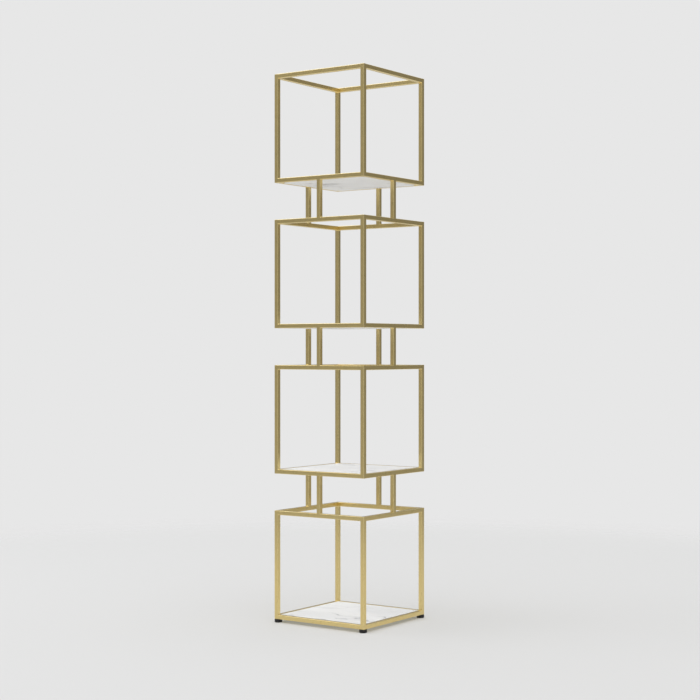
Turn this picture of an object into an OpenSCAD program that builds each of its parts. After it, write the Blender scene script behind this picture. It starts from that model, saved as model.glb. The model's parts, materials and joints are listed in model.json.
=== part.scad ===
// Display tower: open cube frames of square tube stacked on short posts,
// each cube with a stone shelf let into its bottom ring, the lowest on four levelling feet.
// The origin is on the floor under the tower's centre, +Z is up, and the front faces -Y.

/* [Cubes] */
// Number of cubes in the stack
cube_count = 4; // [1:1:4]
// Outside width, depth and height of one cube
cube_size = 380; // [260:5:500]
// Open height between one cube and the next
cube_gap = 129; // [40:1:250]

/* [Tube] */
// Outside width of the square tube
tube_w = 15; // [14:1:25]
// Wall thickness of the tube
tube_wall = 1.2; // [1:0.1:1.5]
// Outside radius of the tube's four long edges
tube_edge_r = 1.5; // [1.5:0.1:2.5]

/* [Shelves] */
// Gap between a shelf and the rails round it
shelf_gap = 1; // [0.5:0.1:2]
// Length of a shelf tab along each rail of its corner
tab_leg = 20; // [16:1:30]
// Thickness of a shelf tab
tab_t = 2.5; // [2:0.5:4]
// Diameter of the soft dot on each tab
dot_d = 8; // [5:0.5:9]
// Height of the soft dot
dot_h = 1; // [0.5:0.1:2]

/* [Feet] */
// Height of the frame above the floor with the feet wound right in
foot_h = 11.5; // [9:0.5:16]
// Diameter of a foot pad
foot_d = 27; // [20:0.5:34]
// Distance that a foot winds out
foot_travel = 12; // [4:1:20]
// Outside diameter of the foot's screw
stud_d = 6; // [5:1:6]

/* [Hidden] */
$fn = 64;
corner_names = ["front_left", "front_right", "back_right", "back_left"];
side_names = ["front", "right", "back", "left"];
levels = [1:cube_count];
// A range that ends below its start would run backwards, so one cube has no gaps to fill
gap_levels = [for (level = levels) if (level < cube_count) level];

// Tube
inner_w = tube_w - 2 * tube_wall;
inner_r = tube_edge_r - tube_wall + 0.1;
rail_l = cube_size - 2 * tube_w;
// From the tower's centre to the middle of a tube in a cube's side
tube_line = (cube_size - tube_w) / 2;

// Plugs that close the ends of the uprights
plug_gap = 0.1;
plug_w = inner_w - 2 * plug_gap;
cap_t = 2;
nut_plate_t = 5;

// Shelves, flush with their ring above and below
shelf_w = rail_l - 2 * shelf_gap;
shelf_t = tube_w;
tab_z = tube_edge_r;
pocket_h = tab_z + tab_t + dot_h;
pocket_leg = tab_leg + 2;
dot_inset = tab_leg * 0.29;

// Feet: the screws sit as near the tower's centre as the nut plates allow
nut_edge = 0.7;
thread_play = 0.05;
foot_inset = tube_w - tube_wall - plug_gap - nut_edge - stud_d / 2;
foot_line = cube_size / 2 - foot_inset;
seat_gap = 0.2;
pad_h = foot_h - seat_gap;
pad_top_r = 2.4;
pad_sole_r = 2.6;
collar_flats = 10;
collar_h = 2.8;
collar_recess_r = 6.2;
collar_z = pad_h - collar_h - seat_gap;
head_z = 2.7;
head_h = 1.6;
head_r = 4.7;
head_play = 0.3;
stud_top = foot_h + nut_plate_t + foot_travel + 3;

function cube_z(level) = foot_h + (level - 1) * (cube_size + cube_gap);
function corner_x(corner) = corner == 0 || corner == 3 ? -1 : 1;
function corner_y(corner) = corner < 2 ? -1 : 1;
function upright_name(level, corner) = str("upright_", level, "_", corner_names[corner]);
function post_name(level, side) = str("post_", level, "_", side_names[side]);
function pad_name(corner) = str("foot_pad_", corner_names[corner]);
function stud_name(corner) = str("foot_stud_", corner_names[corner]);
function level_name(word, level) = str(word, "_", level);

// ---- Shapes used more than once ----

// A square with rounded corners, built from squares and circles so that its corners stay true arcs
module rounded_square(w, r) {
    straight = w - 2 * r;
    square([w, straight], center = true);
    square([straight, w], center = true);
    for (x = [-1, 1], y = [-1, 1])
        translate([x * straight / 2, y * straight / 2])
            circle(r);
}

// A length of square tube standing on the XY plane
module tube(length) {
    linear_extrude(length)
        difference() {
            rounded_square(tube_w, tube_edge_r);
            rounded_square(inner_w, inner_r);
        }
}

// A plate that fits inside the tube
module plug(thickness) {
    linear_extrude(thickness)
        rounded_square(plug_w, inner_r);
}

// Four straight rails between the uprights, their undersides at height z
module rail_ring(z) {
    for (side = [0:3])
        rotate([0, 0, 90 * side])
            translate([-rail_l / 2, -tube_line, z + tube_w / 2])
                rotate([0, 90, 0])
                    tube(rail_l);
}

// Its children, drawn for the front left corner of a ring, at all four corners
module at_each_corner() {
    for (corner = [0:3])
        rotate([0, 0, 90 * corner])
            children();
}

// The right-angled triangle that fills a ring's front left corner
module corner_triangle(from_centre, leg) {
    translate([-from_centre, -from_centre])
        polygon([[0, 0], [leg, 0], [0, leg]]);
}

// ---- Frame ----

module upright(level, corner) {
    color([0.74, 0.66, 0.42])
        translate([corner_x(corner) * tube_line, corner_y(corner) * tube_line, cube_z(level)])
            tube(cube_size);
}

module base_rails(level) {
    color([0.74, 0.66, 0.42])
        rail_ring(cube_z(level));
}

module top_rails(level) {
    color([0.74, 0.66, 0.42])
        rail_ring(cube_z(level) + cube_size - tube_w);
}

// A post stands on the middle of a top rail and carries the rail of the next cube
module post(level, side) {
    color([0.74, 0.66, 0.42])
        rotate([0, 0, 90 * side])
            translate([0, -tube_line, cube_z(level) + cube_size])
                tube(cube_gap);
}

module top_end_caps() {
    color([0.74, 0.66, 0.42])
        for (level = levels)
            at_each_corner()
                translate([-tube_line, -tube_line, cube_z(level) + cube_size - cap_t])
                    plug(cap_t);
}

// The lowest cube has nut plates in their place
module bottom_end_caps() {
    color([0.74, 0.66, 0.42])
        for (level = gap_levels)
            at_each_corner()
                translate([-tube_line, -tube_line, cube_z(level + 1)])
                    plug(cap_t);
}

// ---- Shelves ----

module shelf_tabs(level) {
    color([0.74, 0.66, 0.42])
        at_each_corner()
            translate([0, 0, cube_z(level) + tab_z])
                linear_extrude(tab_t)
                    corner_triangle(rail_l / 2, tab_leg);
}

module shelf_dots(level) {
    dot_line = rail_l / 2 - dot_inset;
    color([0.85, 0.87, 0.88])
        at_each_corner()
            translate([-dot_line, -dot_line, cube_z(level) + tab_z + tab_t])
                cylinder(h = dot_h, d = dot_d);
}

// A slab with a pocket under each corner for the tab and its dot
module stone_shelf(level) {
    color([0.95, 0.95, 0.94])
        translate([0, 0, cube_z(level)])
            difference() {
                translate([-shelf_w / 2, -shelf_w / 2, 0])
                    cube([shelf_w, shelf_w, shelf_t]);
                at_each_corner()
                    translate([0, 0, -1])
                        linear_extrude(pocket_h + 1)
                            corner_triangle(rail_l / 2, pocket_leg);
            }
}

// ---- Levelling feet ----

// Half of a pad's section: a flat-bottomed disc with a rounded rim
module pad_outline() {
    rim = foot_d / 2;
    square([rim - pad_sole_r, pad_h]);
    translate([0, pad_sole_r])
        square([rim, pad_h - pad_sole_r - pad_top_r]);
    square([rim - pad_top_r, pad_h]);
    intersection() {
        square([rim, pad_h]);
        union() {
            translate([rim - pad_sole_r, pad_sole_r])
                circle(pad_sole_r);
            translate([rim - pad_top_r, pad_h - pad_top_r])
                circle(pad_top_r);
        }
    }
}

// The pad turns on the screw's neck; its recess takes the screw's collar, its cavity the head
module foot_pad(corner) {
    color([0.08, 0.08, 0.08])
        translate([corner_x(corner) * foot_line, corner_y(corner) * foot_line, 0])
            rotate_extrude()
                difference() {
                    pad_outline();
                    translate([-1, collar_z - seat_gap])
                        square([collar_recess_r + 1, pad_h]);
                    translate([-1, head_z])
                        square([stud_d / 2 + thread_play + 1, pad_h]);
                    translate([-1, head_z - seat_gap])
                        square([head_r + head_play + 1, head_h + 2 * seat_gap]);
                }
}

// Head, neck, hexagonal collar and screw, all on one axis
module foot_stud(corner) {
    color([0.75, 0.76, 0.78])
        translate([corner_x(corner) * foot_line, corner_y(corner) * foot_line, 0]) {
            translate([0, 0, head_z])
                cylinder(h = head_h, r = head_r);
            translate([0, 0, head_z])
                cylinder(h = collar_z - head_z, d = stud_d);
            translate([0, 0, collar_z])
                cylinder(h = collar_h, d = collar_flats / cos(30), $fn = 6);
            translate([0, 0, collar_z])
                cylinder(h = stud_top - collar_z, r = stud_d / 2 - thread_play);
        }
}

// A tapped plate in the foot of each upright of the lowest cube
module foot_nut_plates() {
    color([0.75, 0.76, 0.78])
        at_each_corner()
            difference() {
                translate([-tube_line, -tube_line, foot_h])
                    plug(nut_plate_t);
                translate([-foot_line, -foot_line, foot_h - 1])
                    cylinder(h = nut_plate_t + 2, d = stud_d);
            }
}

// ---- Nodes ----

for (level = levels, corner = [0:3])
    upright(level, corner);
for (level = levels)
    base_rails(level);
for (level = levels)
    top_rails(level);
for (level = gap_levels, side = [0:3])
    post(level, side);
for (level = levels)
    stone_shelf(level);
for (level = levels)
    shelf_tabs(level);
for (level = levels)
    shelf_dots(level);
for (corner = [0:3])
    foot_pad(corner);
for (corner = [0:3])
    foot_stud(corner);
bottom_end_caps();
top_end_caps();
foot_nut_plates();
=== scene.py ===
# %% [markdown]
# # A display tower of stacked cube frames
# The real object is a tall, narrow stand: open cubes of gold square tube, held apart by short posts.
# A white marble slab lies in the bottom ring of every cube, and four black feet level the stand.
# The design is already fixed elsewhere, with every size and joint. Here each part gets the surface
# that a viewer sees: rounded tube edges, polished welds, an eased stone edge, a cut thread.
# The first cell loads that fixed frame, and the main sizes below are measured on its parts.

# %% Load the fixed frame
import json
import math
import random

import bpy
from mathutils import Matrix, Vector

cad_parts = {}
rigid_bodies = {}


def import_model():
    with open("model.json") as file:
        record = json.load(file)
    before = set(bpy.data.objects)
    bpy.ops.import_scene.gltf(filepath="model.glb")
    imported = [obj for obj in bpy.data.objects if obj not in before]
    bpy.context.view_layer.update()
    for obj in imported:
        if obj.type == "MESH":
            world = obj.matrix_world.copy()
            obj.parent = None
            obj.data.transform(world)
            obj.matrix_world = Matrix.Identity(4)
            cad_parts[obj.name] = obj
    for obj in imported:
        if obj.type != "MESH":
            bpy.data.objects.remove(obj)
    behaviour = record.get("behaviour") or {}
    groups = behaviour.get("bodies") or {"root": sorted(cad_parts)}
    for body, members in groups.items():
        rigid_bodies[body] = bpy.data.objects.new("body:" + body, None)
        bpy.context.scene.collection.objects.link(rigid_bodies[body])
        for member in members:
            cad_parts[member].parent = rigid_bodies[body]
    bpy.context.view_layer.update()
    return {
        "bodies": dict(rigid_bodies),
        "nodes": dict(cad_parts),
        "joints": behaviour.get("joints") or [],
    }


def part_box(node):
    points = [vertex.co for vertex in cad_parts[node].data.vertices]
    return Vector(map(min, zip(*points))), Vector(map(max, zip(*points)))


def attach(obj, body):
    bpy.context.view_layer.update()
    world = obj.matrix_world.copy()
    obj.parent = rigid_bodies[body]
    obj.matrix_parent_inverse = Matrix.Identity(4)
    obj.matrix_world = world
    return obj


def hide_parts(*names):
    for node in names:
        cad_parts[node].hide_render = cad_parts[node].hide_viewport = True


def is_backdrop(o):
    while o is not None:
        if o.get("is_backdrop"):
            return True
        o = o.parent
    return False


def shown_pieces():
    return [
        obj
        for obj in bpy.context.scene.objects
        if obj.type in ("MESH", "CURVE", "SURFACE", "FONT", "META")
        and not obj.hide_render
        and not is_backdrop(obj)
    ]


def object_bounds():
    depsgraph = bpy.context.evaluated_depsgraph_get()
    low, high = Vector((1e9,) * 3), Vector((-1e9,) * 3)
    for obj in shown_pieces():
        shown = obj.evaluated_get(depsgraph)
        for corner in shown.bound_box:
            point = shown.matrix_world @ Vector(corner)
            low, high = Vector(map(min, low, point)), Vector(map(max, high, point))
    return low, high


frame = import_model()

MM = 0.001

# %% [markdown]
# ## Sizes taken from the frame
# Numbers typed in twice drift apart. So the main sizes are measured on the loaded parts: an upright
# gives the tube's width and the cube's height, a post gives the gap, and a slab gives its thickness.
# Only what a box can't tell, such as a wall or an edge radius, is written down here.

# %% Measure the loaded parts
LEVELS = sorted(int(name.rsplit("_", 1)[1]) for name in frame["nodes"] if name.startswith("stone_shelf"))
CORNERS = ["front_left", "front_right", "back_right", "back_left"]
SIDES = ["front", "right", "back", "left"]
CORNER_SIGNS = {"front_left": (-1, -1), "front_right": (1, -1), "back_right": (1, 1), "back_left": (-1, 1)}

upright_low, upright_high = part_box("upright_1_front_left")
tube_w = upright_high.x - upright_low.x
cube = upright_high.z - upright_low.z
tube_line = (cube - tube_w) / 2
rail_l = cube - 2 * tube_w

tube_wall = 1.2 * MM
tube_edge = 1.5 * MM
bore_w = tube_w - 2 * tube_wall
bore_edge = 0.4 * MM

print(f"tube {1000 * tube_w:.1f} mm, cube {1000 * cube:.0f} mm, levels {LEVELS}")


def level_z(level):
    """Height of the underside of a cube's bottom ring."""
    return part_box(f"upright_{level}_front_left")[0].z


# %% [markdown]
# ## From points to a piece
# Every part below is written as a list of points and faces, because that gives full control of edges
# and leaves nothing to apply later. One helper turns such lists into a mesh, rounds the shading where
# faces meet gently, keeps real edges crisp, and says which body the piece moves with.
# The mesh also carries two things for the finishes: a map called grain, which runs along a tube and
# round it in metres, and a value called edge, which is 1 where polishing cloths rub most.

# %% A shape, and how shapes become a piece
class Shape:
    """Points and faces, with the grain's place at each face corner and the edge value at each point."""

    def __init__(self):
        self.points, self.faces, self.grain, self.edge = [], [], [], []

    def add(self, points, faces, grain=None, edge=None):
        first = len(self.points)
        self.points += [Vector(p) for p in points]
        self.faces += [[first + i for i in face] for face in faces]
        self.grain += grain or [[(points[i][0], points[i][1]) for i in face] for face in faces]
        self.edge += edge or [0.0] * len(points)
        return self

    def moved(self, matrix, grain_shift=(0.0, 0.0)):
        """A copy in another place. grain_shift slides the grain, so that no two tubes look the same."""
        copy = Shape()
        copy.points = [matrix @ p for p in self.points]
        copy.faces, copy.edge = self.faces, self.edge
        du, dv = grain_shift
        copy.grain = [[(u + du, v + dv) for u, v in corners] for corners in self.grain]
        return copy

    def join(self, other):
        first = len(self.points)
        self.points += other.points
        self.faces += [[first + i for i in face] for face in other.faces]
        self.grain += other.grain
        self.edge += other.edge
        return self


def make_piece(name, shape, material, body, stands_for=(), crisp_from=38):
    """A mesh object in the tower's own frame. Edges sharper than crisp_from degrees stay crisp."""
    mesh = bpy.data.meshes.new(name)
    mesh.from_pydata(shape.points, [], shape.faces)
    grain = mesh.uv_layers.new(name="grain")
    grain.data.foreach_set("uv", [x for face in shape.grain for uv in face for x in uv])
    edge = mesh.attributes.new("edge", "FLOAT", "POINT")
    edge.data.foreach_set("value", shape.edge)
    mesh.shade_smooth()
    mesh.set_sharp_from_angle(angle=math.radians(crisp_from))
    mesh.materials.append(material)
    piece = bpy.data.objects.new(name, mesh)
    bpy.context.scene.collection.objects.link(piece)
    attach(piece, body)
    if stands_for:
        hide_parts(*stands_for)
    return piece


# %% [markdown]
# ## The gold finish
# The tube is steel with a satin brass-coloured plating. Three things make it read as metal and not as
# paint: it is fully metallic, it is brushed along its length, and its colour isn't quite even.
# The brushing is noise stretched a hundredfold along the grain map, so the lines follow each tube,
# whichever way it points. It moves the roughness a little and lifts a bump of a hundredth of a
# millimetre. Edges, where the plating is rubbed, come out paler and a touch shinier.

# %% Small helpers for building a finish
def new_finish(name):
    material = bpy.data.materials.new(name)
    material.use_nodes = True
    return material, material.node_tree.nodes, material.node_tree.links


def ramp(nodes, stops):
    """A colour ramp from (place, colour) pairs."""
    node = nodes.new("ShaderNodeValToRGB")
    elements = node.color_ramp.elements
    while len(elements) < len(stops):
        elements.new(0.5)
    for element, (place, colour) in zip(elements, stops):
        element.position = place
        element.color = (*colour, 1)
    return node


def grey(value):
    return (value, value, value)


def noise(nodes, links, vector, scale, detail=3.0, distortion=0.0, roughness=0.5):
    node = nodes.new("ShaderNodeTexNoise")
    node.inputs["Scale"].default_value = scale
    node.inputs["Detail"].default_value = detail
    node.inputs["Distortion"].default_value = distortion
    node.inputs["Roughness"].default_value = roughness
    links.new(vector, node.inputs["Vector"])
    return node.outputs["Fac"]


def stretched(nodes, links, vector, scale):
    """The same coordinates, stretched: a large number packs the pattern tighter on that axis."""
    node = nodes.new("ShaderNodeMapping")
    node.inputs["Scale"].default_value = scale
    links.new(vector, node.inputs["Vector"])
    return node.outputs["Vector"]


def arithmetic(nodes, links, operation, first, second):
    node = nodes.new("ShaderNodeMath")
    node.operation = operation
    for socket, value in zip(node.inputs, (first, second)):
        if isinstance(value, (int, float)):
            socket.default_value = value
        else:
            links.new(value, socket)
    return node.outputs[0]


def between(nodes, links, factor, low, high):
    """A number that runs from low to high as factor runs from 0 to 1."""
    node = nodes.new("ShaderNodeMapRange")
    node.inputs["To Min"].default_value = low
    node.inputs["To Max"].default_value = high
    links.new(factor, node.inputs["Value"])
    return node.outputs["Result"]


# A Mix node has a set of sockets for each kind of value: these are its colours and its vectors
MIX_COLOURS, MIX_COLOUR_OUT = slice(6, 8), 2
MIX_VECTORS, MIX_VECTOR_OUT = slice(4, 6), 1


def mixed(nodes, links, factor, first, second):
    """first where factor is 0, second where it is 1. Either may be a colour or a socket."""
    node = nodes.new("ShaderNodeMix")
    node.data_type = "RGBA"
    links.new(factor, node.inputs["Factor"])
    for socket, value in zip(node.inputs[MIX_COLOURS], (first, second)):
        if isinstance(value, tuple):
            socket.default_value = (*value, 1)
        else:
            links.new(value, socket)
    return node.outputs[MIX_COLOUR_OUT]


def lift(nodes, links, height, distance, strength=1.0):
    """A bump of that height in metres."""
    node = nodes.new("ShaderNodeBump")
    node.inputs["Distance"].default_value = distance
    node.inputs["Strength"].default_value = strength
    links.new(height, node.inputs["Height"])
    return node.outputs["Normal"]


# %% The gold finish, brushed along each tube
GOLD = (0.805, 0.648, 0.300)
GOLD_WARM = (0.835, 0.655, 0.285)
GOLD_RUBBED = (0.890, 0.770, 0.430)
GOLD_ROUGHNESS = (0.24, 0.34)
GOLD_SMUDGE = 0.03
GOLD_BRUSH_DEEP = 0.01 * MM
# Per metre along a tube and per metre round it
GOLD_BRUSH_STRETCH = (28, 2600, 1)


def gold_finish(name, brush_along_grain=True):
    material, nodes, links = new_finish(name)
    shader = nodes["Principled BSDF"]
    shader.inputs["Metallic"].default_value = 1.0
    place = nodes.new("ShaderNodeTexCoord").outputs["Object"]

    clouds = noise(nodes, links, place, scale=9.0, detail=2.0)
    colour = mixed(nodes, links, between(nodes, links, clouds, -0.4, 1.4), GOLD, GOLD_WARM)
    rub = nodes.new("ShaderNodeAttribute")
    rub.attribute_name = "edge"
    speckle = noise(nodes, links, place, scale=700.0, detail=2.0)
    wear = between(nodes, links, speckle, 0.1, 1.0)
    rubbed = arithmetic(nodes, links, "MULTIPLY", rub.outputs["Fac"], wear)
    links.new(mixed(nodes, links, rubbed, colour, GOLD_RUBBED), shader.inputs["Base Color"])

    if brush_along_grain:
        grain = nodes.new("ShaderNodeUVMap")
        grain.uv_map = "grain"
        brush = stretched(nodes, links, grain.outputs["UV"], GOLD_BRUSH_STRETCH)
        lines = noise(nodes, links, brush, scale=1.0, detail=4.0)
    else:
        lines = noise(nodes, links, place, scale=1800.0, detail=3.0)
    smudges = noise(nodes, links, place, scale=38.0, detail=3.0)
    rough = between(nodes, links, lines, *GOLD_ROUGHNESS)
    smudge = between(nodes, links, smudges, -GOLD_SMUDGE, GOLD_SMUDGE)
    rough = arithmetic(nodes, links, "ADD", rough, smudge)
    shine = arithmetic(nodes, links, "MULTIPLY", rubbed, GOLD_SMUDGE)
    rough = arithmetic(nodes, links, "SUBTRACT", rough, shine)
    links.new(rough, shader.inputs["Roughness"])
    links.new(lift(nodes, links, lines, GOLD_BRUSH_DEEP, 0.5), shader.inputs["Normal"])
    return material


gold = gold_finish("gold_brushed")
gold_weld = gold_finish("gold_dressed_weld", brush_along_grain=False)
print("finishes", gold.name, gold_weld.name)

# %% [markdown]
# ## Square tube
# Real square tube is hollow, with a rounded outer edge and a tighter inner one. A cube primitive would
# give knife edges that catch no light. Here a tube is a loft: a rounded square is drawn at several
# heights, out along the outside and back along the bore, and neighbouring rings are joined by faces.
# The uprights' ends are eased as well, because a maker grinds them smooth after closing them.

# %% The loft behind every tube
ARC_STEPS = 5
EASE_STEPS = 4
# How much of an end's easing the tube's round edges give up, so that they stay round
EASE_SHARE = 0.7


def rounded_square(width, radius):
    """Points round a square with rounded corners, with the distance round it and the edge value."""
    points, rub = [], []
    for corner in range(4):
        middle = math.radians(90 * corner + 45)
        outward = Vector((math.copysign(1, math.cos(middle)), math.copysign(1, math.sin(middle))))
        centre = outward * (width / 2 - radius)
        for step in range(ARC_STEPS + 1):
            turn = math.radians(90 * corner + 90 * step / ARC_STEPS)
            points.append(centre + radius * Vector((math.cos(turn), math.sin(turn))))
            rub.append(math.sin(math.pi * step / ARC_STEPS))
    walked = [0.0]
    for here, there in zip(points, points[1:] + points[:1]):
        walked.append(walked[-1] + (there - here).length)
    return points, walked, rub


def tube(length, eased=0.0):
    """A hollow tube that stands on its end at the origin. eased rounds the outside of both ends."""
    rings = []
    for step in range(EASE_STEPS + 1):
        turn = math.radians(90 * step / EASE_STEPS)
        inset = eased * (1 - math.sin(turn))
        z = eased * (1 - math.cos(turn))
        rings.append((z, tube_w - 2 * inset, tube_edge - inset * EASE_SHARE, 1 - step / EASE_STEPS))
    if not eased:
        rings = rings[-1:]
    rings += [(length - z, width, radius, rub) for z, width, radius, rub in reversed(rings)]
    rings += [(length, bore_w, bore_edge, 0.0), (0.0, bore_w, bore_edge, 0.0)]

    shape, points, edge, walks = Shape(), [], [], []
    for z, width, radius, end_rub in rings:
        outline, walked, rub = rounded_square(width, radius)
        points += [(p.x, p.y, z) for p in outline]
        outside = width > bore_w + MM
        edge += [max(r, end_rub) if outside else 0.0 for r in rub]
        walks.append(walked)
    around = len(points) // len(rings)
    faces, grain = [], []
    for i in range(len(rings)):
        k = (i + 1) % len(rings)
        for j in range(around):
            m = (j + 1) % around
            faces.append([i * around + j, i * around + m, k * around + m, k * around + j])
            low, high = rings[i][0], rings[k][0]
            grain.append([(low, walks[i][j]), (low, walks[i][j + 1]),
                          (high, walks[k][j + 1]), (high, walks[k][j])])
    return shape.add(points, faces, grain, edge)


random.seed(41)
BAR_LENGTH = 4


def next_shift():
    """A fresh stretch of grain for each tube, as if each were cut from another bar."""
    return random.uniform(0, BAR_LENGTH), random.uniform(0, BAR_LENGTH)


# %% [markdown]
# ## The frame's tubes
# Each cube has four full-height uprights with eight rails between them. A rail is cut square and lies
# flush with the uprights. The round edge of an upright would leave a groove there, which the maker
# fills and grinds flat, so here every rail and post runs on by one edge radius, into the groove.

# %% Uprights
UPRIGHT_EASE = 1.0 * MM
upright_tube = tube(cube, UPRIGHT_EASE)
for level in LEVELS:
    for corner in CORNERS:
        name = f"upright_{level}_{corner}"
        sx, sy = CORNER_SIGNS[corner]
        place = Matrix.Translation((sx * tube_line, sy * tube_line, level_z(level)))
        shape = upright_tube.moved(place, next_shift())
        make_piece(f"{name}.tube", shape, gold, "frame", [name])
print("uprights", len(LEVELS) * len(CORNERS), "with", len(upright_tube.faces), "faces each")


# %% Rails of the top and bottom rings
def facing(side):
    """Turns what is drawn for the front to another side."""
    return Matrix.Rotation(math.radians(90 * SIDES.index(side)), 4, "Z")


rail_tube = tube(rail_l + 2 * tube_edge)
lay_down = Matrix.Rotation(math.radians(90), 4, "Y")
for level in LEVELS:
    rings = {"base": level_z(level), "top": level_z(level) + cube - tube_w}
    for ring, z in rings.items():
        for side in SIDES:
            start = Matrix.Translation((-rail_l / 2 - tube_edge, -tube_line, z + tube_w / 2))
            shape = rail_tube.moved(facing(side) @ start @ lay_down, next_shift())
            name = f"{ring}_rail_{level}_{side}.tube"
            make_piece(name, shape, gold, "frame", [f"{ring}_rails_{level}"])
print("rails", len(LEVELS) * 2 * len(SIDES))

# %% Posts between the cubes
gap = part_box("post_1_front")[1].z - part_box("post_1_front")[0].z
post_tube = tube(gap + 2 * tube_edge)
for level in LEVELS[:-1]:
    for side in SIDES:
        name = f"post_{level}_{side}"
        start = Matrix.Translation((0, -tube_line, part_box(name)[0].z - tube_edge))
        shape = post_tube.moved(facing(side) @ start, next_shift())
        make_piece(f"{name}.tube", shape, gold, "frame", [name])
print("posts", (len(LEVELS) - 1) * len(SIDES), f"across a gap of {1000 * gap:.0f} mm")

# %% [markdown]
# ## Welds
# On the flat outside the welds are ground away. In the inner corners a grinder can't reach, so a
# small hollow bead stays, dressed with a file and plated over. Each bead is a short strip whose
# section is a corner with a quarter circle scooped out. Its size wavers a little and it fades at both
# ends, because a hand laid it. All the beads of one cube are one piece.

# %% One bead in an inner corner
BEAD_STEPS = 8
BEAD_ARC = 4
BEAD_LEG = 1.3 * MM
BEAD_ROOT = 0.25 * MM
BEAD_WAVER = (0.93, 1.07)
# Size at a bead's ends, as a share of its full size, and how fast it grows from there
BEAD_END, BEAD_GROWTH = 0.35, 2.2


def bead(start, along, up_one, up_other, length):
    """A weld in the corner line from start. up_one and up_other run away from it on the two faces."""
    along, one, other = Vector(along), Vector(up_one), Vector(up_other)
    points, faces = [], []
    for i in range(BEAD_STEPS + 1):
        t = i / BEAD_STEPS
        fade = min(1.0, BEAD_END + BEAD_GROWTH * math.sin(math.pi * t))
        leg = BEAD_LEG * fade * random.uniform(*BEAD_WAVER)
        middle = Vector(start) + along * length * t
        section = [(-BEAD_ROOT, -BEAD_ROOT), (leg, -BEAD_ROOT)]
        for k in range(BEAD_ARC + 1):
            turn = math.radians(90 * k / BEAD_ARC)
            section.append((leg * (1 - math.sin(turn)), leg * (1 - math.cos(turn))))
        section.append((-BEAD_ROOT, leg))
        points += [middle + one * a + other * b for a, b in section]
    count = len(points) // (BEAD_STEPS + 1)
    for i in range(BEAD_STEPS):
        for j in range(count):
            m = (j + 1) % count
            faces.append([i * count + j, i * count + m, (i + 1) * count + m, (i + 1) * count + j])
    faces.append(list(reversed(range(count))))
    faces.append([BEAD_STEPS * count + j for j in range(count)])
    if one.cross(other).dot(along) < 0:
        faces = [list(reversed(face)) for face in faces]
    return Shape().add([tuple(p) for p in points], faces)


# %% All the beads, cube by cube and gap by gap
random.seed(17)
flat = tube_w - 2 * tube_edge
outer = -tube_line - flat / 2
X, Y, Z = Vector((1, 0, 0)), Vector((0, 1, 0)), Vector((0, 0, 1))

for level in LEVELS:
    shape = Shape()
    corners = ((level_z(level) + tube_w, Z), (level_z(level) + cube - tube_w, -Z))
    for side in SIDES:
        for z, up in corners:
            for way in (-1, 1):
                one = bead((way * rail_l / 2, outer, z), Y, -way * X, up, flat)
                shape.join(one.moved(facing(side)))
    make_piece(f"welds_cube_{level}", shape, gold_weld, "frame", crisp_from=60)

for level in LEVELS[:-1]:
    low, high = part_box(f"post_{level}_front")
    shape = Shape()
    for side in SIDES:
        for z, up in ((low.z, Z), (high.z, -Z)):
            for way in (-1, 1):
                one = bead((way * tube_w / 2, outer, z), Y, way * X, up, flat)
                shape.join(one.moved(facing(side)))
    make_piece(f"welds_gap_{level}", shape, gold_weld, "frame", crisp_from=60)
BEADS_A_PIECE = 4 * len(SIDES)
print("beads", BEADS_A_PIECE * (len(LEVELS) + len(LEVELS) - 1))

# %% [markdown]
# ## The plugs that close the uprights
# A plate closes each end of each upright, and it is ground flush. Its shape in the design is already
# exact, so the designed part stays and only gets a finish. The lowest ends hold the nut plates, whose
# zinc finish comes with the feet.

# %% Finish the designed end caps
def refinish(node, material):
    slots = frame["nodes"][node].data.materials
    slots.clear()
    slots.append(material)


gold_plate = gold_finish("gold_ground_plate", brush_along_grain=False)
for node in ("top_end_caps", "bottom_end_caps"):
    refinish(node, gold_plate)
    print("refinished", node)

# %% [markdown]
# ## The marble
# White marble is pale calcite with thin grey veins, which were cracks once. So a vein isn't a stripe:
# it wanders, forks, fades out and comes back. A ridge in smooth noise, where the value crosses one
# half, gives such a line, and bending the coordinates first makes it wander. Two sizes of vein and a
# slow grey cloud are layered. The pattern fills space, so each slab shows another cut through it.

# %% The marble finish
STONE = (0.850, 0.856, 0.862)
STONE_CLOUD = (0.778, 0.786, 0.797)
VEIN = (0.380, 0.385, 0.400)
HAIR = (0.540, 0.546, 0.560)
# Veins and hairs per metre, and widths as a share of the noise's range
VEIN_SCALE, VEIN_WIDTH, HALO_WIDTH = 4.2, 0.014, 0.075
HAIR_SCALE, HAIR_WIDTH = 13.0, 0.008
STONE_GLOSS = 0.28
STONE_ROUGHNESS = (0.52, 0.64)
GRAIN_DEEP = 0.01 * MM


def vein_lines(nodes, links, vector, scale, width, detail):
    """1 on the thin lines where noise crosses one half, 0 away from them."""
    value = noise(nodes, links, vector, scale, detail)
    offset = arithmetic(nodes, links, "SUBTRACT", value, 0.5)
    away = arithmetic(nodes, links, "ABSOLUTE", offset, 0.0)
    line = nodes.new("ShaderNodeMapRange")
    line.interpolation_type = "SMOOTHSTEP"
    line.inputs["From Min"].default_value = 0.0
    line.inputs["From Max"].default_value = width
    line.inputs["To Min"].default_value = 1.0
    line.inputs["To Max"].default_value = 0.0
    links.new(away, line.inputs["Value"])
    return line.outputs["Result"]


def patches(nodes, links, vector, scale, start, end):
    """A slow mask that lets a pattern come and go."""
    node = nodes.new("ShaderNodeMapRange")
    node.interpolation_type = "SMOOTHSTEP"
    node.inputs["From Min"].default_value = start
    node.inputs["From Max"].default_value = end
    links.new(noise(nodes, links, vector, scale, 2.0), node.inputs["Value"])
    return node.outputs["Result"]


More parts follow.
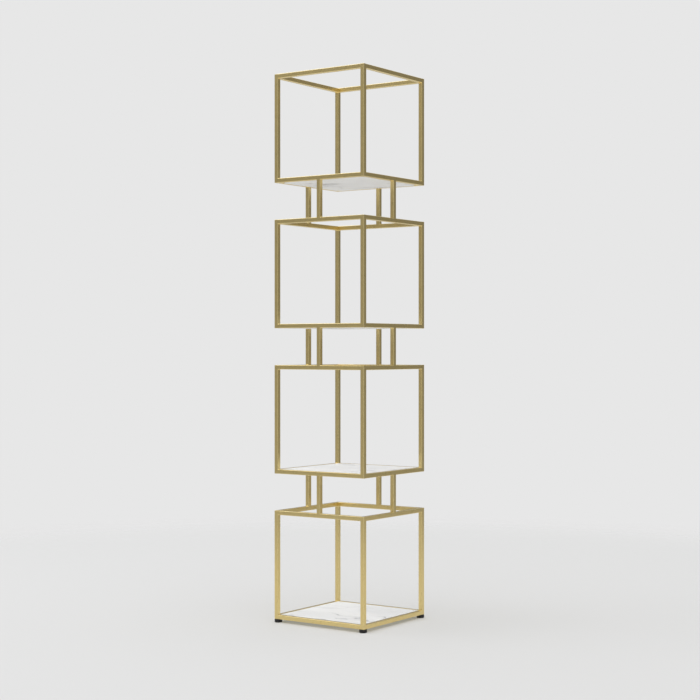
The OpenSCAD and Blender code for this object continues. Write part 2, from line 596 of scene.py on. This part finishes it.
def marble_finish():
    material, nodes, links = new_finish("marble_honed")
    shader = nodes["Principled BSDF"]
    place = nodes.new("ShaderNodeTexCoord").outputs["Object"]
    bedding = nodes.new("ShaderNodeMapping")
    bedding.inputs["Rotation"].default_value = (0.35, 0.2, 0.75)
    bedding.inputs["Scale"].default_value = (1.0, 1.9, 1.3)
    links.new(place, bedding.inputs["Vector"])

    bend = nodes.new("ShaderNodeTexNoise")
    bend.inputs["Scale"].default_value = 7.0
    bend.inputs["Detail"].default_value = 4.0
    links.new(bedding.outputs["Vector"], bend.inputs["Vector"])
    blend = nodes.new("ShaderNodeMix")
    blend.data_type = "VECTOR"
    blend.inputs["Factor"].default_value = 0.12
    straight, wandering = blend.inputs[MIX_VECTORS]
    links.new(bedding.outputs["Vector"], straight)
    links.new(bend.outputs["Color"], wandering)
    bent = blend.outputs[MIX_VECTOR_OUT]

    def times(mask, strength):
        return arithmetic(nodes, links, "MULTIPLY", mask, strength)

    cloud = patches(nodes, links, bent, 4.0, 0.42, 0.70)
    colour = mixed(nodes, links, cloud, STONE, STONE_CLOUD)
    veined = patches(nodes, links, place, 5.0, 0.42, 0.62)
    main = times(vein_lines(nodes, links, bent, VEIN_SCALE, VEIN_WIDTH, 3.0), veined)
    halo = times(vein_lines(nodes, links, bent, VEIN_SCALE, HALO_WIDTH, 3.0), veined)
    colour = mixed(nodes, links, times(halo, 0.28), colour, HAIR)
    colour = mixed(nodes, links, times(main, 0.75), colour, VEIN)
    cracked = patches(nodes, links, place, 8.0, 0.45, 0.65)
    hair = times(vein_lines(nodes, links, bent, HAIR_SCALE, HAIR_WIDTH, 4.0), cracked)
    colour = mixed(nodes, links, times(hair, 0.45), colour, HAIR)
    links.new(colour, shader.inputs["Base Color"])

    crystal = noise(nodes, links, place, 900.0, 3.0)
    shader.inputs["Specular IOR Level"].default_value = STONE_GLOSS
    rough = between(nodes, links, crystal, *STONE_ROUGHNESS)
    rough = arithmetic(nodes, links, "ADD", rough, times(main, 0.12))
    links.new(rough, shader.inputs["Roughness"])
    links.new(lift(nodes, links, crystal, GRAIN_DEEP, 0.5), shader.inputs["Normal"])
    return material


marble = marble_finish()
print("finish", marble.name)

# %% [markdown]
# ## The slabs
# A slab fills its ring flush, above and below, and hides its supports in a pocket under each corner.
# So its outline changes at the pocket's ceiling: cut corners below, whole corners above. Both outlines
# have twelve points, three to a corner, and the faces between them are written out. A stonemason
# eases every edge, or it would chip, and a bevel modifier does the same here.

# %% Build a slab
POCKET_H = 5.0 * MM
POCKET_LEG = 20.0 * MM
ARRIS = 0.8 * MM


def slab_outline(half, cut):
    """Twelve points, anticlockwise from above. cut clips the corners, or leaves their points in place."""
    points = []
    for sx, sy in ((-1, -1), (1, -1), (1, 1), (-1, 1)):
        corner = Vector((sx * half, sy * half))
        first, last = corner - Vector((0, sy * POCKET_LEG)), corner - Vector((sx * POCKET_LEG, 0))
        if sx * sy < 0:
            first, last = last, first
        points += [first, (first + last) / 2 if cut else corner, last]
    return points


def slab(half, low, high):
    """Its points run: cut outline below, cut outline and four tips at the ceiling, whole outline above."""
    ceiling = low + POCKET_H
    cut, whole = slab_outline(half, True), slab_outline(half, False)
    points = [(p.x, p.y, low) for p in cut] + [(p.x, p.y, ceiling) for p in cut]
    points += [(whole[i].x, whole[i].y, ceiling) for i in (1, 4, 7, 10)]
    points += [(p.x, p.y, high) for p in whole]
    count, tips, top = 12, 24, 28
    faces = [list(reversed(range(count))), [top + j for j in range(count)]]
    for j in range(count):
        m = (j + 1) % count
        faces.append([j, m, count + m, count + j])
        if j % 3 == 2:
            faces.append([count + j, count + m, top + m, top + j])
    for k in range(4):
        first, middle, last, tip = 3 * k, 3 * k + 1, 3 * k + 2, tips + k
        faces.append([count + first, count + middle, count + last, tip])
        faces.append([count + first, tip, top + middle, top + first])
        faces.append([tip, count + last, top + last, top + middle])
    return Shape().add(points, faces)


for level in LEVELS:
    low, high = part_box(f"stone_shelf_{level}")
    shape = slab(high.x, low.z, high.z)
    piece = make_piece(f"marble_slab_{level}", shape, marble, f"shelf_{level}",
                       [f"stone_shelf_{level}"], crisp_from=50)
    ease = piece.modifiers.new("eased_edges", "BEVEL")
    ease.width = ARRIS
    ease.segments = 3
    ease.limit_method = "ANGLE"
    ease.angle_limit = math.radians(40)
    print(piece.name, f"{2000 * high.x:.0f} mm square, {1000 * (high.z - low.z):.0f} mm thick")

# %% [markdown]
# ## What the slabs rest on
# A triangle of plate is welded into each inner corner of a bottom ring, and a clear soft dot on it
# keeps stone off metal. They hide in the slab's pockets, and show only from below or when a slab is
# lifted out. The plate has eased edges, and the dot is a low dome with a flat top, turned on a
# profile as a potter would.

# %% A solid turned about an upright axis
def turned(profile, segments=48, centre=(0.0, 0.0)):
    """A closed solid from (radius, height) pairs, which start and end on the axis."""
    cx, cy = centre
    shape, points, faces = Shape(), [], []
    inner = profile[1:-1]
    points.append((cx, cy, profile[0][1]))
    for r, z in inner:
        for j in range(segments):
            turn = 2 * math.pi * j / segments
            points.append((cx + r * math.cos(turn), cy + r * math.sin(turn), z))
    points.append((cx, cy, profile[-1][1]))
    last = len(points) - 1
    for j in range(segments):
        m = (j + 1) % segments
        faces.append([0, 1 + m, 1 + j])
        for i in range(len(inner) - 1):
            a, b = 1 + i * segments, 1 + (i + 1) * segments
            faces.append([a + j, a + m, b + m, b + j])
        a = 1 + (len(inner) - 1) * segments
        faces.append([a + j, a + m, last])
    return shape.add(points, faces)


def arc(centre, radius, start, end, steps):
    """(radius, height) pairs along an arc, for a profile."""
    turns = [math.radians(start + (end - start) * k / steps) for k in range(steps + 1)]
    return [(centre[0] + radius * math.cos(t), centre[1] + radius * math.sin(t)) for t in turns]


# %% Tabs and dots
SILICONE, SILICONE_HAZE = (0.80, 0.83, 0.84), (0.88, 0.90, 0.90)


def silicone_finish():
    material, nodes, links = new_finish("silicone_clear")
    shader = nodes["Principled BSDF"]
    place = nodes.new("ShaderNodeTexCoord").outputs["Object"]
    haze = noise(nodes, links, place, 260.0, 2.0)
    links.new(mixed(nodes, links, haze, SILICONE, SILICONE_HAZE), shader.inputs["Base Color"])
    links.new(between(nodes, links, haze, 0.22, 0.34), shader.inputs["Roughness"])
    shader.inputs["Transmission Weight"].default_value = 0.55
    shader.inputs["IOR"].default_value = 1.41
    return material


silicone = silicone_finish()
TAB_LEG = 20.0 * MM
TAB_EASE = 0.3 * MM
DOT_R = 4.0 * MM
DOT_SHOULDER = 0.9 * MM
# Where a dot's rim ends and its dome begins, as a share of its height
DOT_RIM = 0.25
half_ring = rail_l / 2


def tab(low, high):
    """The plate in the front left corner."""
    outline = [(0, 0), (TAB_LEG, 0), (0, TAB_LEG)]
    points = [(x - half_ring, y - half_ring, z) for z in (low, high) for x, y in outline]
    return Shape().add(points, [[2, 1, 0], [3, 4, 5], [0, 1, 4, 3], [1, 2, 5, 4], [2, 0, 3, 5]])


def dot(low, high, centre):
    """A low dome with a flat top."""
    height = high - low
    rim = low + DOT_RIM * height
    profile = [(0, low), (DOT_R, low), (DOT_R, rim)]
    profile += arc((DOT_R - DOT_SHOULDER, rim), (1 - DOT_RIM) * height, 0, 90, 4)[1:]
    return turned([*profile, (0, high)], 32, centre)


for level in LEVELS:
    low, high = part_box(f"shelf_tabs_{level}")
    dot_low, dot_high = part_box(f"shelf_dots_{level}")
    dot_line = dot_high.x - DOT_R
    tabs, dots = Shape(), Shape()
    for side in SIDES:
        tabs.join(tab(low.z, high.z).moved(facing(side)))
        dots.join(dot(dot_low.z, dot_high.z, (-dot_line, -dot_line)).moved(facing(side)))
    piece = make_piece(f"shelf_tabs_{level}.plates", tabs, gold_plate, "frame",
                       [f"shelf_tabs_{level}"])
    ease = piece.modifiers.new("eased_edges", "BEVEL")
    ease.width = TAB_EASE
    ease.segments = 2
    make_piece(f"shelf_dots_{level}.domes", dots, silicone, "frame", [f"shelf_dots_{level}"])
print("tabs and dots", len(SIDES) * len(LEVELS))

# %% [markdown]
# ## The feet
# A foot is a black moulded pad that sits still on the floor while a steel screw turns in it, which
# raises or lowers the corner. The pad is turned on a profile with a soft rim, a recess for the
# screw's collar and grip rings under the sole. Moulded plastic is never a pure black mirror, so its
# finish is a dark grey with a fine spark-eroded texture.

# %% The moulded pad
PLASTIC, PLASTIC_SCUFFED = (0.007, 0.007, 0.007), (0.015, 0.0145, 0.014)
PLASTIC_TEXTURE_DEEP = 0.03 * MM


def plastic_finish():
    material, nodes, links = new_finish("plastic_black")
    shader = nodes["Principled BSDF"]
    place = nodes.new("ShaderNodeTexCoord").outputs["Object"]
    texture = noise(nodes, links, place, 2400.0, 3.0)
    scuffs = noise(nodes, links, place, 160.0, 4.0)
    links.new(mixed(nodes, links, scuffs, PLASTIC, PLASTIC_SCUFFED), shader.inputs["Base Color"])
    shader.inputs["Specular IOR Level"].default_value = 0.38
    links.new(between(nodes, links, texture, 0.40, 0.58), shader.inputs["Roughness"])
    links.new(lift(nodes, links, texture, PLASTIC_TEXTURE_DEEP, 0.7), shader.inputs["Normal"])
    return material


plastic = plastic_finish()
PAD_TOP_R = 2.4 * MM
PAD_SOLE_R = 2.6 * MM
RECESS_R = 6.2 * MM
RECESS_ROUND = 0.4 * MM
NECK_HOLE_R = 3.05 * MM
HEAD_HOLE_R = 5.0 * MM
PLAY = 0.2 * MM
COLLAR_H = 2.8 * MM
HEAD_LOW, HEAD_H, HEAD_R = 2.7 * MM, 1.6 * MM, 4.7 * MM
GRIP_RINGS = (3.5 * MM, 5.5 * MM, 7.5 * MM)
GRIP_W, GRIP_DEEP = 0.5 * MM, 0.4 * MM


def pad(radius, height, centre):
    """Sole, rim, recess for the collar, neck hole and the hollow that holds the screw's head."""
    collar_low = height - COLLAR_H - PLAY
    profile = [(0, 0)]
    for ring in GRIP_RINGS:
        profile += [(ring - GRIP_W, 0), (ring - GRIP_W / 2, GRIP_DEEP)]
        profile += [(ring + GRIP_W / 2, GRIP_DEEP), (ring + GRIP_W, 0)]
    profile += arc((radius - PAD_SOLE_R, PAD_SOLE_R), PAD_SOLE_R, -90, 0, 8)
    profile += arc((radius - PAD_TOP_R, height - PAD_TOP_R), PAD_TOP_R, 0, 90, 7)
    profile += arc((RECESS_R + RECESS_ROUND, height - RECESS_ROUND), RECESS_ROUND, 90, 180, 3)
    profile += [(RECESS_R, collar_low - PLAY), (NECK_HOLE_R, collar_low - PLAY)]
    profile += [(NECK_HOLE_R, HEAD_LOW + HEAD_H + PLAY), (HEAD_HOLE_R, HEAD_LOW + HEAD_H + PLAY)]
    profile += [(HEAD_HOLE_R, HEAD_LOW - PLAY), (0, HEAD_LOW - PLAY)]
    return turned(profile, 64, centre)


for corner in CORNERS:
    low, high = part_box(f"foot_pad_{corner}")
    centre = ((low.x + high.x) / 2, (low.y + high.y) / 2)
    shape = pad((high.x - low.x) / 2, high.z, centre)
    make_piece(f"foot_pad_{corner}.moulding", shape, plastic, f"pad_{corner}",
               [f"foot_pad_{corner}"], crisp_from=50)
print("pads", f"{1000 * (high.x - low.x):.0f} mm across, {1000 * high.z:.1f} mm high")

# %% [markdown]
# ## The screws
# The screw has a head caught in the pad, a neck, a six-sided collar for a spanner and a real thread.
# A thread is one groove that climbs as it goes round. So its surface is a column of four points, root,
# flank, crest and flank, carried round and up by one pitch a turn, and each column's top joins the
# column one turn later. The crest shrinks to the root over the first and last turn, as a die leaves it.

# %% Thread, collar and head
PITCH = 1.0 * MM
CREST_R = 2.95 * MM
ROOT_R = 2.42 * MM
COLUMNS_A_TURN = 28
# One column of the thread: height as a share of the pitch, and radius
THREAD_SECTION = ((0.06, ROOT_R), (0.42, CREST_R), (0.58, CREST_R), (0.94, ROOT_R))
COLLAR_ACROSS = 10.0 * MM
COLLAR_CHAMFER = 0.4 * MM
# Radius of the collar's round end faces, as a share of half its width across flats
COLLAR_FACE = 1.01


def thread(low, high):
    """A closed screw thread from low to high, on the Z axis."""
    turns = int((high - low) / PITCH) - 1
    last = turns * COLUMNS_A_TURN
    size = len(THREAD_SECTION)
    points, faces = [], []
    for i in range(last + 1):
        turn = 2 * math.pi * i / COLUMNS_A_TURN
        full = min(1.0, i / COLUMNS_A_TURN, (last - i) / COLUMNS_A_TURN)
        for rise, radius in THREAD_SECTION:
            r = ROOT_R + (radius - ROOT_R) * full
            z = low + PITCH * (i / COLUMNS_A_TURN + rise)
            points.append((r * math.cos(turn), r * math.sin(turn), z))
    for i in range(last):
        for k in range(size - 1):
            faces.append([size * i + k, size * (i + 1) + k, size * (i + 1) + k + 1, size * i + k + 1])
        if i + 1 + COLUMNS_A_TURN <= last:
            up = i + COLUMNS_A_TURN
            faces.append([size * i + size - 1, size * (i + 1) + size - 1, size * (up + 1), size * up])
    n = COLUMNS_A_TURN
    foot = [size * i for i in range(n + 1)] + [k for k in range(size - 1, 0, -1)]
    head = [size * i + size - 1 for i in range(last - n, last + 1)]
    head += [size * last + k for k in range(size - 2, -1, -1)]
    for loop, z, flip in ((foot, low + PITCH / 2, True), (head, low + PITCH * (turns + 0.5), False)):
        tip = len(points)
        points.append((0.0, 0.0, z))
        for a, b in zip(loop, loop[1:] + loop[:1]):
            faces.append([b, a, tip] if flip else [a, b, tip])
    return Shape().add(points, faces)


def collar(low, high, segments=60):
    """A six-sided nut shape, with its corners turned off at both ends."""
    apothem = COLLAR_ACROSS / 2
    corner_r = apothem / math.cos(math.radians(30))
    face_r = COLLAR_FACE * apothem
    rings = [(low, face_r), (low + COLLAR_CHAMFER, corner_r)]
    rings += [(high - COLLAR_CHAMFER, corner_r), (high, face_r)]
    points = [(0.0, 0.0, low)]
    for z, limit in rings:
        for j in range(segments):
            turn = 2 * math.pi * j / segments
            off = (turn % (math.pi / 3)) - math.pi / 6
            r = min(limit, apothem / math.cos(off))
            points.append((r * math.cos(turn), r * math.sin(turn), z))
    points.append((0.0, 0.0, high))
    faces = []
    for j in range(segments):
        m = (j + 1) % segments
        faces.append([0, 1 + m, 1 + j])
        for i in range(len(rings) - 1):
            a, b = 1 + i * segments, 1 + (i + 1) * segments
            faces.append([a + j, a + m, b + m, b + j])
        a = 1 + (len(rings) - 1) * segments
        faces.append([a + j, a + m, len(points) - 1])
    return Shape().add(points, faces)


ZINC, ZINC_BLOOM = (0.50, 0.52, 0.55), (0.66, 0.66, 0.66)
LATHE_STRETCH, FLAT_STRETCH = (200, 200, 9000), (1500, 1500, 1500)


def zinc_finish(name, lathe_lines):
    """Zinc plating: cool, slightly cloudy, with turning marks where a lathe cut it."""
    material, nodes, links = new_finish(name)
    shader = nodes["Principled BSDF"]
    shader.inputs["Metallic"].default_value = 1.0
    place = nodes.new("ShaderNodeTexCoord").outputs["Object"]
    bloom = noise(nodes, links, place, 320.0, 4.0)
    links.new(mixed(nodes, links, bloom, ZINC, ZINC_BLOOM), shader.inputs["Base Color"])
    scale = LATHE_STRETCH if lathe_lines else FLAT_STRETCH
    lines = noise(nodes, links, stretched(nodes, links, place, scale), 1.0, 2.0)
    links.new(between(nodes, links, lines, 0.26, 0.42), shader.inputs["Roughness"])
    links.new(lift(nodes, links, lines, 0.01 * MM, 0.5), shader.inputs["Normal"])
    return material


zinc_turned = zinc_finish("zinc_turned", True)
zinc_flat = zinc_finish("zinc_flat", False)
refinish("foot_nut_plates", zinc_flat)

# %% Put the screws together
NECK_R = 3.0 * MM
NECK_OVERLAP = 0.1 * MM
HEAD_CHAMFER = 0.3 * MM
pad_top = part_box("foot_pad_front_left")[1].z
collar_low = pad_top - COLLAR_H - PLAY
for corner in CORNERS:
    low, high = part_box(f"foot_stud_{corner}")
    centre = ((low.x + high.x) / 2, (low.y + high.y) / 2)
    neck_top = collar_low + NECK_OVERLAP
    head = [(0, low.z), (HEAD_R - HEAD_CHAMFER, low.z), (HEAD_R, low.z + HEAD_CHAMFER)]
    head += [(HEAD_R, low.z + HEAD_H), (NECK_R, low.z + HEAD_H), (NECK_R, neck_top), (0, neck_top)]
    shape = turned(head, 48)
    shape.join(collar(collar_low, collar_low + COLLAR_H))
    shape.join(thread(collar_low + COLLAR_H - PITCH, high.z))
    shape = shape.moved(Matrix.Translation((*centre, 0)))
    make_piece(f"foot_stud_{corner}.screw", shape, zinc_turned, f"stud_{corner}",
               [f"foot_stud_{corner}"], crisp_from=32)
print("screws", len(CORNERS), f"of {1000 * (high.z - low.z):.1f} mm, with a pitch of {1000 * PITCH:.0f} mm")

# %% [markdown]
# ## Floor, light and sky
# The stand is shown on a plain pale floor that fades into a plain pale backdrop. The floor is a disc
# whose outer part turns transparent with distance from the tower, so no horizon line shows from any
# side. Metal shows what is round it more than its own colour, so the surroundings matter: bright from
# below, where the floor goes on, dimmer at eye level, and bright again overhead like a large softbox.
# One side of the sky is a little brighter, so that two faces of a tube never have the same tone, and a
# soft glow in front draws a line of light along the round edges. A ray straight from the camera sees
# one even backdrop, whatever the metal sees.

# %% Floor
# The floor glows a little, warm: painted light that lifts its shadows and tints them warm, standing in for
# light bounced off the gold. Its own tone is bluish, so where the floor is lit the two add up to a neutral
# pale.
FLOOR_TONE = (0.475, 0.485, 0.517)
FLOOR_GLOW_TONE = (1.0, 0.95, 0.76)
FLOOR_GLOW = 0.20
FADE_FROM, FADE_TO = 2.2, 3.6
FLOOR_R = 3.8


def floor_finish():
    material, nodes, links = new_finish("floor_pale")
    shader = nodes["Principled BSDF"]
    shader.inputs["Roughness"].default_value = 0.9
    shader.inputs["Specular IOR Level"].default_value = 0.15
    shader.inputs["Base Color"].default_value = (*FLOOR_TONE, 1)
    # Painted light: a faint warm glow that lifts and warms the floor's shadows
    shader.inputs["Emission Color"].default_value = (*FLOOR_GLOW_TONE, 1)
    shader.inputs["Emission Strength"].default_value = FLOOR_GLOW
    distance = nodes.new("ShaderNodeVectorMath")
    distance.operation = "LENGTH"
    links.new(nodes.new("ShaderNodeTexCoord").outputs["Object"], distance.inputs[0])
    fade = nodes.new("ShaderNodeMapRange")
    fade.interpolation_type = "SMOOTHERSTEP"
    fade.inputs["From Min"].default_value = FADE_FROM
    fade.inputs["From Max"].default_value = FADE_TO
    links.new(distance.outputs["Value"], fade.inputs["Value"])
    clear = nodes.new("ShaderNodeBsdfTransparent")
    blend = nodes.new("ShaderNodeMixShader")
    links.new(fade.outputs["Result"], blend.inputs[0])
    links.new(shader.outputs[0], blend.inputs[1])
    links.new(clear.outputs[0], blend.inputs[2])
    links.new(blend.outputs[0], nodes["Material Output"].inputs["Surface"])
    return material


FLOOR_SIDES = 96
floor_turns = [2 * math.pi * j / FLOOR_SIDES for j in range(FLOOR_SIDES)]
floor_points = [(FLOOR_R * math.cos(turn), FLOOR_R * math.sin(turn), 0) for turn in floor_turns]
floor_mesh = bpy.data.meshes.new("floor")
floor_mesh.from_pydata(floor_points, [], [list(range(FLOOR_SIDES))])
floor_mesh.materials.append(floor_finish())
floor = bpy.data.objects.new("floor", floor_mesh)
bpy.context.scene.collection.objects.link(floor)
floor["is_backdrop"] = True

# %% [markdown]
# The frame stays where it is when the feet wind out, so the floor has to go down with the pads, or
# they would sink into it. Four constraints add up how far the pads went, and a fifth stops the sum at
# the travel of one foot. So the floor lies under the lowest pad, with one foot wound out or all four.

# %% Keep the floor under the pads
foot_joint = next(joint for joint in frame["joints"] if joint["child"] == "pad_front_left")
foot_travel = foot_joint["range_m"][1]
for corner in CORNERS:
    follow = floor.constraints.new("COPY_LOCATION")
    follow.target = frame["bodies"][f"pad_{corner}"]
    follow.use_x = False
    follow.use_y = False
    follow.use_offset = True
stop = floor.constraints.new("LIMIT_LOCATION")
stop.use_min_z = True
stop.min_z = -foot_travel
print(f"floor follows the pads down to {1000 * foot_travel:.0f} mm")

# %% Sky
BACKDROP = 0.799
SKY_BELOW, SKY_LEVEL, SKY_RING, SKY_TOP = 0.80, 0.22, 1.32, 1.00
# Place on the way from straight down, 0, to straight up, 1, and the tone there
SKY_STOPS = [(0.0, SKY_BELOW), (0.38, SKY_BELOW), (0.45, SKY_LEVEL), (0.69, SKY_LEVEL),
             (0.83, SKY_RING), (0.92, SKY_RING), (1.0, SKY_TOP)]
UPWARD = (0.0, 0.0, 1.0)
BRIGHT_WAY = (0.35, -0.937, 0.0)
SHADED, LIT = 0.96, 1.31
FRONT_WAY = (0.573, -0.819, 0.0)
FRONT_GLOW = 0.22

world = bpy.data.worlds.new("studio")
world.use_nodes = True
bpy.context.scene.world = world
nodes, links = world.node_tree.nodes, world.node_tree.links
way = nodes.new("ShaderNodeTexCoord").outputs["Generated"]


def along(direction):
    """0 when looking against a direction, 1 when looking along it."""
    dot_product = nodes.new("ShaderNodeVectorMath")
    dot_product.operation = "DOT_PRODUCT"
    dot_product.inputs[1].default_value = direction
    links.new(way, dot_product.inputs[0])
    share = nodes.new("ShaderNodeMapRange")
    share.inputs["From Min"].default_value = -1.0
    links.new(dot_product.outputs["Value"], share.inputs["Value"])
    return share.outputs["Result"]


def combined(blend_type, first, second):
    """Two colours of the sky, added or multiplied."""
    node = nodes.new("ShaderNodeMix")
    node.data_type = "RGBA"
    node.blend_type = blend_type
    node.inputs["Factor"].default_value = 1.0
    for socket, colour in zip(node.inputs[MIX_COLOURS], (first, second)):
        links.new(colour, socket)
    return node.outputs[MIX_COLOUR_OUT]


dome = ramp(nodes, [(place, grey(tone)) for place, tone in SKY_STOPS])
links.new(along(UPWARD), dome.inputs[0])
sides = mixed(nodes, links, along(BRIGHT_WAY), grey(SHADED), grey(LIT))
glow = ramp(nodes, [(0.70, grey(0.0)), (0.92, grey(FRONT_GLOW))])
links.new(along(FRONT_WAY), glow.inputs[0])
sky = combined("ADD", combined("MULTIPLY", dome.outputs[0], sides), glow.outputs[0])
seen = nodes.new("ShaderNodeLightPath")
even = mixed(nodes, links, seen.outputs["Is Camera Ray"], sky, grey(BACKDROP))
links.new(even, nodes["Background"].inputs["Color"])
print("sky from", SKY_BELOW, "below to", SKY_TOP, "overhead")

# %% [markdown]
# One large soft lamp stands high on the left of the camera. It evens out the floor and gives the tower
# its faint shadow, to the right of the feet.

# %% Lamp
KEY_PLACE, KEY_AIM = (-2.6, -1.8, 4.2), (0, 0, 0.6)
KEY_SIZE, KEY_WATTS = 3.0, 30


def softbox(name, place, aim, size, watts):
    lamp = bpy.data.lights.new(name, "AREA")
    lamp.shape = "DISK"
    lamp.size = size
    lamp.energy = watts
    stand = bpy.data.objects.new(name, lamp)
    stand.location = place
    stand.rotation_euler = (Vector(aim) - Vector(place)).to_track_quat("-Z", "Y").to_euler()
    bpy.context.scene.collection.objects.link(stand)
    print(name, f"{size} m across, {watts} W")


softbox("key_softbox", KEY_PLACE, KEY_AIM, KEY_SIZE, KEY_WATTS)

# %% [markdown]
# ## Camera
# A long lens stands about five and a half metres away, at half the tower's height and almost level, so
# upright tubes stay upright in the view. It is turned so that two sides of every cube show, the left
# one more than the right, with the near corner a little right of the middle.

# %% Camera
CAMERA_TURN = math.radians(34.97)
CAMERA_AWAY = 5.512
CAMERA_HEIGHT = 0.958
CAMERA_TILT = math.radians(0.05)
CAMERA_LENS = 80.25
CAMERA_SENSOR = 36

camera_data = bpy.data.cameras.new("camera")
camera_data.lens = CAMERA_LENS
camera_data.sensor_width = CAMERA_SENSOR
camera = bpy.data.objects.new("camera", camera_data)
camera.location = (CAMERA_AWAY * math.sin(CAMERA_TURN), -CAMERA_AWAY * math.cos(CAMERA_TURN), CAMERA_HEIGHT)
ahead = Vector((-math.sin(CAMERA_TURN), math.cos(CAMERA_TURN), -math.tan(CAMERA_TILT)))
camera.rotation_euler = ahead.to_track_quat("-Z", "Y").to_euler()
bpy.context.scene.collection.objects.link(camera)
bpy.context.scene.camera = camera
bpy.context.scene.view_settings.view_transform = "Standard"
print(f"camera {CAMERA_AWAY:.2f} m away, lens {CAMERA_LENS:.0f} mm")

# %% [markdown]
# ## Flat faces that look flat
# Smooth shading blends the direction of neighbouring faces, so a wide flat face between two round
# edges would shade as if it bulged. Weighted normals let the larger face win at every shared point:
# the flats stay flat, and only the narrow rounds turn the light.

# %% Weight the shading of every piece
LARGE_FACES_WIN = 90
made_here = [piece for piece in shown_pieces() if piece.name not in frame["nodes"]]
for piece in made_here:
    flats = piece.modifiers.new("flats_stay_flat", "WEIGHTED_NORMAL")
    flats.keep_sharp = True
    flats.weight = LARGE_FACES_WIN
print("pieces made here", len(made_here))

# %% [markdown]
# ## The overall box
# The last line measures the box round every shown piece. The looks may not grow the object.

# %% Measure the overall box
low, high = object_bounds()
